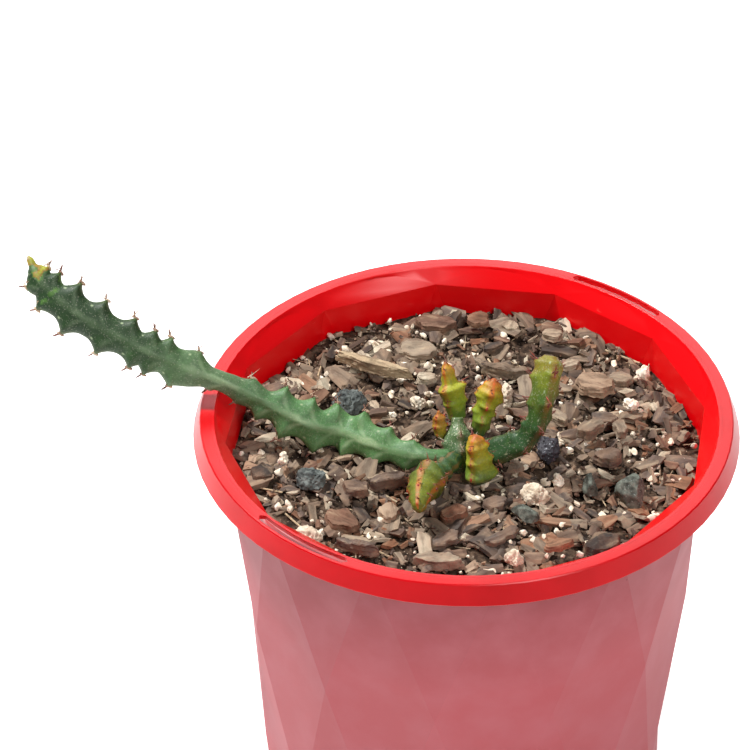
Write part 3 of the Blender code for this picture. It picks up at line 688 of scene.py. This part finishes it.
def grow(name, path, girth, ridges, core, toward, cut, half_pitch=4.3, root=0.0, spacing=0.5,
         sides=56, sharp=5.0):
    """Path and girth in mm. ridges are (degrees round the stem, share of the girth, tooth places in mm).
    girth, core (the part of the girth without ridges) and cut (mm between teeth) are profiles, and
    all of them start root mm along the path."""
    line, length = smooth_line([Vector(point) for point in path], spacing)
    frames = frames_along(line, Vector(toward))
    rows = len(line) - 1
    select_only()
    bpy.ops.mesh.primitive_circle_add(vertices=sides, radius=1.0, fill_type="NOTHING")
    stem = bpy.context.object
    stem.name = name
    rise = stem.modifiers.new("Rise", "SCREW")
    rise.angle = 0.0
    rise.screw_offset = length
    rise.steps = rows
    rise.render_steps = rows
    apply_modifiers(stem)
    bpy.ops.object.mode_set(mode="EDIT")
    bpy.ops.mesh.select_all(action="DESELECT")
    bpy.ops.mesh.select_non_manifold()
    bpy.ops.mesh.fill_holes(sides=0)
    bpy.ops.object.mode_set(mode="OBJECT")

    marks = {"along": [], "ridge": [], "tooth": []}
    seed = 7.3 * len(path)
    toothed = [ridge for ridge in ridges if ridge[2]]
    places = []
    for vertex in stem.data.vertices:
        at = vertex.co.z - root
        share = max(0.0, at) / (length - root)
        angle = math.degrees(math.atan2(vertex.co.y, vertex.co.x))
        nearest = max(toothed, key=lambda r: math.cos(math.radians(angle - r[0])))
        size = along_profile(girth, share)
        inner = along_profile(core, share) * size
        reach = inner
        for turn, factor, teeth in ridges:
            close = max(0.0, math.cos(math.radians(angle - turn)))
            gap = min((abs(at - tooth) for tooth in teeth), default=9.0)
            notch = 1.0 - (1.0 - min(1.0, gap / half_pitch)) ** 2.1
            crest = size * factor - along_profile(cut, share) * notch
            reach += max(0.0, crest - inner) * close ** sharp
        index = min(rows, round(vertex.co.z / length * rows))
        forward, ridge, across = frames[index]
        turned = math.radians(angle)
        skin = 0.12 * noise.noise(Vector((at * 0.35, math.cos(turned) * 2 + seed, math.sin(turned) * 2)))
        arm = ridge * math.cos(turned) + across * math.sin(turned)
        places.append((line[index] + arm * (reach + skin * min(1.0, size / 3))) * MM)
        teeth = nearest[2]
        signed = min((at - tooth for tooth in teeth), key=abs, default=9.0)
        marks["along"].append(share)
        marks["ridge"].append(max(0.0, math.cos(math.radians(angle - nearest[0]))))
        marks["tooth"].append(signed)
    for vertex, place in zip(stem.data.vertices, places):
        vertex.co = place
    for mark, values in marks.items():
        store(stem.data, mark, values)

    crests = []
    for turn, factor, teeth in ridges:
        for tooth in teeth:
            if 0.0 <= tooth <= length - root:
                index = min(rows, round((tooth + root) / length * rows))
                forward, ridge, across = frames[index]
                arm = ridge * math.cos(math.radians(turn)) + across * math.sin(math.radians(turn))
                share = tooth / (length - root)
                reach = along_profile(girth, share) * factor
                crests.append((line[index] + arm * (reach - 0.2), arm, forward, share))
    print(f"{name}: {length:.0f} mm long, {len(crests)} teeth")
    return stem, crests


def every(start, end, pitch):
    """Tooth places from start to end, one pitch apart."""
    return [start + pitch * step for step in range(int((end - start) / pitch) + 1)]


# %% [markdown]
# ## Skin
# Old growth is dark green and speckled, new growth is yellow-green and blushes orange at the tip.
# Along the middle of each face runs a pale wavy stripe, and from it a pale feather reaches up to
# every tooth. The stored "ridge" and "tooth" say where that is, so the marks follow every bend.

# %% Skin of old and young growth
def succulent_skin(name, colours, edge, edge_share, stripe, stripe_share, speck_share, roughness=0.56):
    material, shader, add = new_material(name, roughness, 1.45, Coat_Weight=0.06, Coat_Roughness=0.5,
                                         Subsurface_Weight=0.08, Subsurface_Scale=1.2 * MM)
    place = add("TexCoord", {}, "Object")
    along = add("Attribute", {}, "Fac", attribute_name="along")
    ridge = add("Attribute", {}, "Fac", attribute_name="ridge")
    tooth = add("Attribute", {}, "Fac", attribute_name="tooth")
    wavy = add("TexNoise", {"Vector": place, "Scale": 260, "Detail": 3.0})
    fine = add("TexNoise", {"Vector": place, "Scale": 1700, "Detail": 4.0, "Roughness": 0.6})
    drift = add("MapRange", [wavy, 0.3, 0.7, -0.06, 0.06])
    shifted = add("Math", [along, drift], operation="ADD")
    colour = add("ValToRGB", {"Fac": shifted}, stops=colours)
    mottled = add("MapRange", [fine, 0.35, 0.65, 0.0, 0.35])
    # the stripe, with a wavy edge
    wobble = add("MapRange", [wavy, 0.3, 0.7, -0.12, 0.12])
    middle = add("Math", [ridge, wobble], operation="ADD")
    middle = add("MapRange", [middle, 0.42, 0.16])
    # one feather for each tooth, leaning back by up to 4 mm
    lean = add("MapRange", [ridge, 1.0, 0.0, 0.0, 4.0])
    feather = add("Math", [tooth, lean], operation="ADD")
    feather = add("Math", [feather], operation="ABSOLUTE")
    feather = add("MapRange", [feather, 1.1, 0.2, 0.0, 0.75])
    short_of_edge = add("MapRange", [ridge, 0.97, 0.8])
    feather = add("Math", [feather, short_of_edge], operation="MULTIPLY")
    # both are patchy, and fade on the part of the stem that grew last
    pale = add("Math", [middle, feather], operation="MAXIMUM")
    cloudy = add("TexNoise", {"Vector": place, "Scale": 110, "Detail": 2.0})
    for fade in (add("MapRange", [fine, 0.3, 0.55, 0.5, 1.0]),
                 add("MapRange", [cloudy, 0.4, 0.6, 0.25, 1.0]),
                 add("MapRange", [along, 0.38, 0.62, 1.0, 0.3])):
        pale = add("Math", [pale, fade], operation="MULTIPLY")
    pale = add("Math", [pale, stripe_share], operation="MULTIPLY")
    # corky specks, and a coloured edge on every ridge
    corky = add("TexNoise", {"Vector": place, "Scale": 2300, "Detail": 2.0, "Roughness": 0.6})
    specks = add("MapRange", [corky, 0.58, 0.68, 0.0, speck_share])
    on_edge = add("MapRange", [ridge, 0.955, 0.995, 0.0, edge_share])
    younger = add("MapRange", [along, 0.3, 0.85, 0.25, 1.0])
    on_edge = add("Math", [on_edge, younger], operation="MULTIPLY")
    from_tooth = add("Math", [tooth], operation="ABSOLUTE")
    at_tooth = add("MapRange", [from_tooth, 2.4, 0.8, 0.35, 1.0])
    on_edge = add("Math", [on_edge, at_tooth], operation="MULTIPLY")
    # painted highlight: a pale spot 2.6 mm from each tooth, the glint on a small glossy eye where a side
    # shoot could break
    beside = add("Math", [tooth, 2.6], operation="SUBTRACT")
    beside = add("Math", [beside], operation="ABSOLUTE")
    beside = add("MapRange", [beside, 0.5, 0.1])
    eye_glint = add("Math", [ridge, 0.9], operation="SUBTRACT")
    eye_glint = add("Math", [eye_glint], operation="ABSOLUTE")
    eye_glint = add("MapRange", [eye_glint, 0.04, 0.0])
    eye_glint = add("Math", [beside, eye_glint], operation="MULTIPLY")
    layers = ((mottled, "1E3318"), (pale, stripe), (specks, "D8D6BE"), (on_edge, edge), (eye_glint, "9DAE86"))
    for share, over in layers:
        colour = add("Mix", {0: share, 6: colour, 7: over}, 2, data_type="RGBA")
    link(colour, shader, "Base Color")
    shader.inputs["Subsurface Radius"].default_value = (0.6, 1.0, 0.2)
    waves = add("Bump", {"Height": wavy, "Strength": 0.4, "Distance": 0.3 * MM})
    skin = add("Bump", {"Height": fine, "Strength": 0.35, "Distance": 0.12 * MM, "Normal": waves})
    link(skin, shader, "Normal")
    return material


trailing_skin = succulent_skin("euphorbia_skin_old", [
    (0.0, "45703C"), (0.12, "5B8850"), (0.3, "588650"), (0.42, "4C7044"), (0.5, "5C7650"), (0.58, "4F7044"),
    (0.68, "2A4720"), (0.8, "183510"), (0.93, "1A3A12"), (0.955, "4E7A2C"), (0.97, "A0742A"),
    (1.0, "A8A82C")],
    "7A8A4A", 0.35, "B5CFA0", 0.6, 0.16)
crown_skin = succulent_skin("euphorbia_skin_crown", [
    (0.0, "3F4A38"), (0.5, "4A6642"), (0.8, "557248"), (1.0, "5F7A48")], "8A7A56", 0.4, "93A880", 0.5, 0.8)
branch_skin = succulent_skin("euphorbia_skin_branch", [
    (0.0, "274A22"), (0.45, "2A5226"), (0.62, "3E6626"), (0.74, "5C721C"), (0.88, "7E8A1A"),
    (1.0, "907622")],
    "A8502A", 0.45, "6F9A4C", 0.35, 0.25)
young_skin = succulent_skin("euphorbia_skin_young", [
    (0.0, "33562A"), (0.15, "64822A"), (0.4, "93A628"), (0.72, "B0AE28"), (0.88, "C89A24"),
    (1.0, "B2561E")],
    "CC5A2A", 0.7, "D3D65A", 0.35, 0.1)
bud_skin = succulent_skin("euphorbia_skin_bud", [
    (0.0, "7E8A2A"), (0.35, "B0942A"), (1.0, "B87024")], "C8562E", 0.6, "D9B848", 0.3, 0.1)

# %% [markdown]
# ## The stems
# The long stem is a flat blade with its two ridges up and down. It has grown in two spurts: a broad
# stretch lying on the mix, a waist where growth paused, and a second broad stretch over the rim. Its
# teeth are staggered between the two ridges. The others stand round the crown like a candelabra.

# %% Grow the stems
all_crests = {}

UPPER_TEETH = (4.5, 12.6, 20.4, 27.6, 35.7, 43.6, 52.0, 66.6, 75.4, 80.0, 86.0, 95.2, 103.8, 110.6, 114.6)
LOWER_TEETH = (6.0, 13.9, 22.9, 31.6, 39.5, 47.0, 53.5, 61.5, 71.3, 78.2, 82.2, 91.0, 100.5, 108.4, 113.0)
trailing, all_crests["trailing_stem"] = grow(
    "trailing_stem_grown",
    [(-4.5, -8.6, 112.6), (-9.5, -8.9, 112.8), (-17, -5.7, 111.8), (-25, -1.8, 112.6), (-32, 2.1, 112.9),
     (-40, 1.5, 115.5), (-52, 3.8, 121.3), (-62, 6.0, 125.8), (-73, 8.1, 129.4), (-83, 9.4, 134.2),
     (-93.5, 12.9, 138.6), (-102.5, 16.5, 143.3), (-108.3, 20.2, 147.6), (-111.7, 23.6, 153.2)],
    [(0, 3.2), (0.08, 5.2), (0.15, 7.2), (0.33, 7.3), (0.4, 5.6), (0.46, 3.6), (0.51, 3.4), (0.58, 6.2),
     (0.68, 6.2), (0.75, 7.0), (0.87, 7.3), (0.925, 5.6), (0.955, 4.0), (0.968, 3.0),
      (0.978, 1.6), (0.99, 1.4), (1.0, 0.4)],
    [(0, 1.0, UPPER_TEETH), (180, 1.0, LOWER_TEETH), (90, 0.5, ()), (-90, 0.5, ())],
    [(0, 0.6), (0.12, 0.42), (0.38, 0.42), (0.5, 0.72), (0.6, 0.44), (0.9, 0.4), (1.0, 0.7)],
    (0, 0.6, 0.8),
    [(0, 1.2), (0.15, 2.9), (0.38, 2.9), (0.46, 0.8), (0.54, 1.0), (0.64, 2.6), (0.9, 3.0), (1.0, 0.5)],
    root=5.0)
finish(trailing, trailing_skin, ["trailing_stem"], smooth_degrees=180)

crown, all_crests["crown"] = grow(
    "crown_grown",
    [(-2, -6.5, 92), (-2, -6.5, 98), (-2, -6.5, 106), (-2, -5.5, 111), (-2.2, -2.5, 115), (-2.3, 0, 118.5)],
    [(0, 1.0), (0.42, 3.0), (0.6, 4.3), (0.8, 4.0), (1, 2.0)],
    [(10, 1.15, (17, 22.5)), (100, 1.15, (15, 20)), (190, 1.15, (17, 22)), (280, 1.15, (15, 20, 24))],
    [(0, 0.72), (1, 0.72)], (1, 0, 0), [(0, 0.6), (1, 1.0)], half_pitch=2.6)
finish(crown, crown_skin, ["crown"], smooth_degrees=180)

branch, all_crests["right_branch"] = grow(
    "right_branch_grown",
    [(4, -5.5, 112), (9, -8, 114.5), (14.5, -9, 118), (17.8, -9, 124), (19.3, -7.5, 131), (20.5, -4.5, 136),
     (21.3, -2, 139.5)],
    [(0, 3.6), (0.2, 4.6), (0.45, 4.0), (0.6, 4.2), (0.85, 4.8), (0.95, 4.3), (1, 2.2)],
    [(0, 1.0, (7.5, 14.0, 21.0, 28.0, 34.5)), (125, 1.0, (10.5, 17.5, 24.5, 31.5, 35.5)),
     (-115, 1.0, (5.5, 12.5, 19.0, 26.0, 33.0))],
    [(0, 0.62), (1, 0.6)], (1, 0, 0), [(0, 0.5), (0.3, 1.1), (0.85, 1.2), (1, 0.3)], half_pitch=3.5,
    spacing=0.4, sides=48, sharp=4.0)
finish(branch, branch_skin, ["right_branch"], smooth_degrees=180)

front_skin = succulent_skin("euphorbia_skin_front", [
    (0.0, "2A4C26"), (0.42, "35582A"), (0.58, "58681C"), (0.75, "787F1E"), (1.0, "748024")],
    "C8642E", 0.7, "C9C24C", 0.3, 0.12)
SHOOTS = (
    ("front_shoot", [(-3, -9, 112), (-7.5, -18, 114.5), (-10.8, -25, 117), (-12.2, -31.5, 118),
                     (-12.6, -36, 117)],
     [(0, 2.8), (0.4, 3.6), (0.52, 5.4), (0.64, 4.9), (0.85, 3.1), (0.96, 2.2), (1, 1.1)], 4,
     (0, 0.6, 0.8), 4.4, front_skin),
    ("centre_shoot", [(3.4, -14, 109.5), (2.9, -13.2, 114), (2.3, -12.5, 118), (2.0, -12, 122)],
     [(0, 3.6), (0.12, 5.0), (0.35, 4.3), (0.75, 3.6), (0.92, 2.5), (1, 0.8)], 3, (1, 0, 0), 4.0, young_skin),
    ("back_left_shoot", [(-2.2, 5.6, 112), (-3, 7.5, 118), (-4.2, 9.3, 123), (-5.2, 11, 128)],
     [(0, 2.0), (0.3, 3.5), (0.58, 4.6), (0.68, 2.8), (0.9, 1.9), (1, 0.6)], 3, (1, 0, 0), 4.2, young_skin),
    ("back_right_shoot", [(3.4, 2.6, 111), (4.3, 4, 116), (6, 5.6, 121), (7.4, 7, 125.5)],
     [(0, 2.0), (0.3, 3.3), (0.75, 4.1), (0.88, 2.8), (1, 0.8)], 4, (1, 0, 0), 4.2, young_skin),
    ("small_bud", [(-6.4, -2, 113.5), (-6.9, -1.4, 116.5), (-7.1, -0.5, 121)],
     [(0, 1.5), (0.4, 2.5), (0.7, 2.3), (1, 0.5)], 3, (1, 0, 0), 2.5, bud_skin),
)
for name, path, girth, ridge_count, toward, pitch, skin in SHOOTS:
    turns = [360 * index / ridge_count for index in range(ridge_count)]
    starts = [pitch * (0.5 + 0.5 * (index % 2)) for index in range(ridge_count)]
    ridges = [(turn, 1.0, every(start, 30, pitch)) for turn, start in zip(turns, starts)]
    shoot, all_crests[name] = grow(
        f"{name}_grown", path, girth, ridges, [(0, 0.7), (1, 0.66)], toward, [(0, 0.5), (0.5, 1.1), (1, 0.3)],
        half_pitch=pitch / 2, spacing=0.35, sides=40, sharp=3.0)
    finish(shoot, skin, [name], smooth_degrees=180)

# %% [markdown]
# ## Spines
# On the point of each tooth sits a small horny shield with a pair of thin spines spread like a V,
# and beside it the stub of a dropped leaf. Fresh spines are red, and old ones bleach to grey-white.

# %% Shields, spines and leaf stubs
def pose(point, arm, forward, scale, lean=0.0, swing=0.0):
    """A matrix that stands a shape on a tooth: Z out of the ridge, X along the stem."""
    across = arm.cross(forward).normalized()
    basis = Matrix((forward, across, arm)).transposed().to_4x4()
    turn = Matrix.Rotation(lean, 4, "X") @ Matrix.Rotation(swing, 4, "Y")
    return Matrix.Translation(point * MM) @ basis @ turn @ Matrix.Scale(scale, 4)


def spine_shape(name, length, thickness):
    """A tapered spine with a slight curve, its foot at the origin."""
    select_only()
    bpy.ops.mesh.primitive_cone_add(vertices=6, radius1=thickness / 2, radius2=thickness / 16, depth=length,
                                    location=(0, 0, length / 2))
    spine = bpy.context.object
    spine.name = name
    bpy.ops.object.mode_set(mode="EDIT")
    bpy.ops.mesh.select_all(action="SELECT")
    bpy.ops.mesh.bisect(plane_co=(0, 0, length * 0.4), plane_no=(0, 0, 1))
    bpy.ops.mesh.select_all(action="SELECT")
    bpy.ops.mesh.bisect(plane_co=(0, 0, length * 0.75), plane_no=(0, 0, 1))
    bpy.ops.object.mode_set(mode="OBJECT")
    for vertex in spine.data.vertices:
        vertex.co.x += 0.08 * length * (vertex.co.z / length) ** 2
    store(spine.data, "grain", [v.co.copy() for v in spine.data.vertices], "FLOAT_VECTOR")
    return spine


def horn():
    material, shader, add = new_material("dry_horny_spine", 0.5, 1.5)
    tint = add("Attribute", {}, "Fac", attribute_name="tint")
    place = add("TexCoord", {}, "Object")
    colour = add("ValToRGB", {"Fac": tint},
                 stops=[(0.0, "F0E6D6"), (0.25, "CDB294"), (0.5, "9A7460"), (0.7, "6E3B30"),
                        (0.85, "A03428"), (1.0, "D0502E")])
    grain = add("TexNoise", {"Vector": place, "Scale": 1800, "Detail": 3.0})
    weathered = add("MapRange", [grain, 0.4, 0.7, 0.0, 0.5])
    colour = add("Mix", {0: weathered, 6: colour, 7: "6B5040"}, 2, data_type="RGBA")
    link(colour, shader, "Base Color")
    link(add("Bump", {"Height": grain, "Strength": 0.4, "Distance": 0.08 * MM}), shader, "Normal")
    return material


# how each stem is armed: spine length in mm, tint of spines, tint of shields
ARMED = {
    "trailing_stem": (3.4, (0.2, 0.68), (0.15, 0.5)),
    "crown": (2.5, (0.0, 0.6), (0.0, 0.5)),
    "right_branch": (3.4, (0.6, 0.95), (0.3, 0.9)),
    "front_shoot": (2.4, (0.6, 0.95), (0.7, 1.0)),
    "centre_shoot": (2.0, (0.55, 0.9), (0.7, 0.95)),
    "back_left_shoot": (2.2, (0.5, 0.9), (0.6, 0.95)),
    "back_right_shoot": (2.2, (0.3, 0.95), (0.6, 1.0)),
    "small_bud": (1.0, (0.6, 0.9), (0.8, 1.0)),
}
thorn = horn()
armed = random.Random(8)
spine_places = []
shield_places = []
stub_places = []
for stem, crests in all_crests.items():
    reach, spine_tints, shield_tints = ARMED[stem]
    for point, arm, forward, share in crests:
        if stem == "front_shoot" and share < 0.35:
            continue
        size = 1.0 if stem == "trailing_stem" else 0.55
        fan = (0.3, 1.2) if share > 0.75 and stem != "trailing_stem" else (-0.8, 0.3)
        sides = (-1, 1, 0.3, -0.4) if fan[0] > 0 else (-1, 1)
        for side in sides:
            tilt = side * armed.uniform(0.2, 0.6)
            length = reach / 3 * armed.uniform(0.75, 1.25)
            spine_places.append((pose(point, arm, forward, length, tilt, armed.uniform(*fan)),
                                 armed.uniform(*spine_tints)))
        shield_places.append((pose(point - arm * 0.1, arm, forward, size * armed.uniform(0.8, 1.1)),
                              armed.uniform(*shield_tints)))
        if stem in ("trailing_stem", "right_branch"):
            stub_places.append((pose(point + forward * 0.8 + arm * 0.6, arm, forward, armed.uniform(0.8, 1.2),
                                     0.0, -1.0), armed.uniform(0.6, 0.72)))
strew("spines", [spine_shape("spine_a", 3 * MM, 0.27 * MM), spine_shape("spine_b", 2.6 * MM, 0.24 * MM)],
      spine_places, thorn, 60, inside=False)
strew("leaf_stubs", [crumb(42, "ball", 2.0, 0.6, 0.5, 0, 0.1)], stub_places, thorn,
      60, inside=False)
strew("spine_shields", [crumb(41, "ball", 2.2, 1.3, 0.9, 0, 0.1)], shield_places, thorn,
      60, inside=False)

# %% [markdown]
# ## Floor, light and camera
# The plant stands on a plain white floor. One big soft lamp high on the left, a little behind, gives
# the rim and the facets their highlights, and a weaker one in front opens the shadows. The camera is
# far away with a long lens, looking down on the rim at 37 degrees, and turned a third of a degree.

# %% Floor, light and camera
select_only()
bpy.ops.mesh.primitive_plane_add(size=6.0, location=(0, 0, 0))
floor = bpy.context.object
floor.name = "floor"
white, white_shader, add = new_material("white_paper", 0.9, 1.45, Base_Color=(0.9, 0.9, 0.9, 1.0),
                                        Emission_Color=(1.0, 1.0, 1.0, 1.0), Emission_Strength=0.55)
paper = add("TexCoord", {}, "Object")
fibres = add("TexNoise", {"Vector": paper, "Scale": 300, "Detail": 2.0})
link(add("Bump", {"Height": fibres, "Strength": 0.05, "Distance": 0.1 * MM}), white_shader, "Normal")
floor.data.materials.append(white)


def soft_lamp(name, place, size, power, target):
    bpy.ops.object.light_add(type="AREA", location=place)
    lamp = bpy.context.object
    lamp.name = name
    lamp.data.shape = "DISK"
    lamp.data.size = size
    lamp.data.energy = power
    lamp.rotation_euler = (Vector(target) - Vector(place)).to_track_quat("-Z", "Y").to_euler()
    return lamp


soft_lamp("key_softbox", (-0.65, 0.35, 1.3), 0.14, 26.0, (0, 0, 0.1))
soft_lamp("front_fill", (0.7, -1.3, 1.6), 0.8, 20.0, (0, 0, 0.1))
soft_lamp("back_softbox", (0.1, 1.7, 1.35), 1.4, 14.0, (0, 0, 0.1))
world = bpy.data.worlds.new("studio")
bpy.context.scene.world = world
world.use_nodes = True
world.node_tree.nodes["Background"].inputs["Color"].default_value = (1.0, 1.0, 1.0, 1.0)
world.node_tree.nodes["Background"].inputs["Strength"].default_value = 0.12

LOOKS_AT = Vector((-23.31, 16.22, 120.0)) * MM
STANDS_AT = Vector((-23.31, -808.37, 745.76)) * MM
ROLL = math.radians(-0.3355)
bpy.ops.object.camera_add(location=STANDS_AT)
camera = bpy.context.object
camera.name = "camera"
camera.data.lens = 192
camera.data.sensor_width = 36
camera.data.clip_start = 0.05
camera.data.dof.use_dof = False
camera.rotation_mode = "QUATERNION"
aim = (LOOKS_AT - STANDS_AT).to_track_quat("-Z", "Y").to_matrix()
camera.rotation_quaternion = (aim @ Matrix.Rotation(ROLL, 3, "Z")).to_quaternion()
bpy.context.scene.camera = camera
bpy.context.scene.view_settings.view_transform = "Standard"
bpy.context.scene.view_settings.look = "None"
